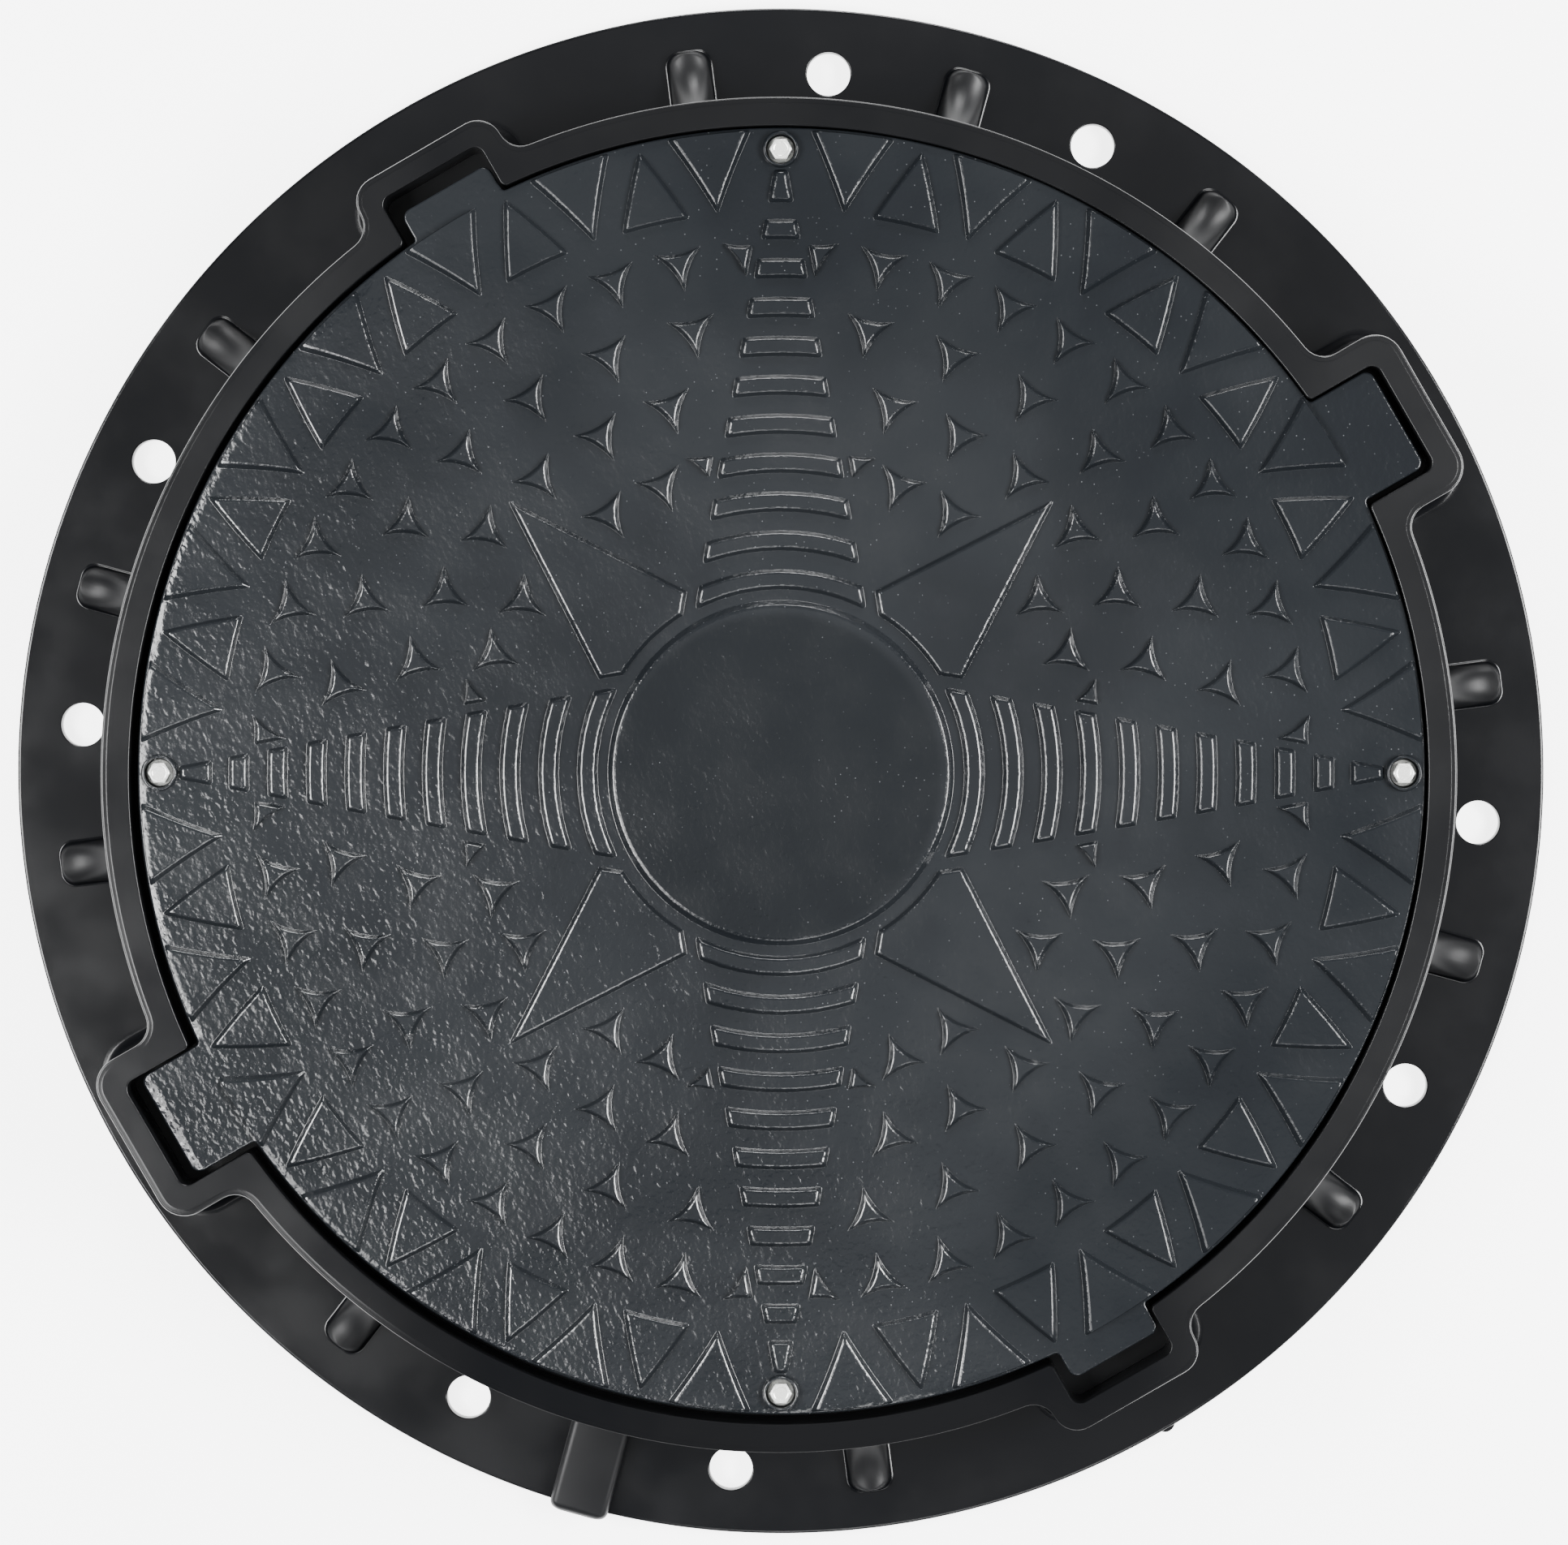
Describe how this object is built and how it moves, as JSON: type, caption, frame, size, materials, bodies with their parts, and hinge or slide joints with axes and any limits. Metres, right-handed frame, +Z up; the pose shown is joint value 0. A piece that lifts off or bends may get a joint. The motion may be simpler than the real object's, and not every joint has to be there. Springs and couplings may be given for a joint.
{
  "type": "manhole cover",
  "caption": "Round black plastic manhole cover: flanged ring frame with lifting pockets, and a screwed-down charcoal lid with a raised star and ladder tread.",
  "frame": {"origin": "centre of the flange's underside", "axes": "+Z up out of the ground, +Y towards the north screw, +X towards the east screw"},
  "size_m": [0.8, 0.8, 0.085],
  "materials": {
    "frame_plastic": "satin",
    "lid_plastic": "satin",
    "seal_rubber": "matte",
    "screw_zinc": "polished",
    "insert_brass": "satin"
  },
  "bodies": {
    "root": {"frame": "frame_plastic", "lid": "lid_plastic", "seal_ring": "seal_rubber", "screw_north": "screw_zinc", "screw_east": "screw_zinc", "screw_south": "screw_zinc", "screw_west": "screw_zinc", "insert_north": "insert_brass", "insert_east": "insert_brass", "insert_south": "insert_brass", "insert_west": "insert_brass"}
  },
  "joints": []
}
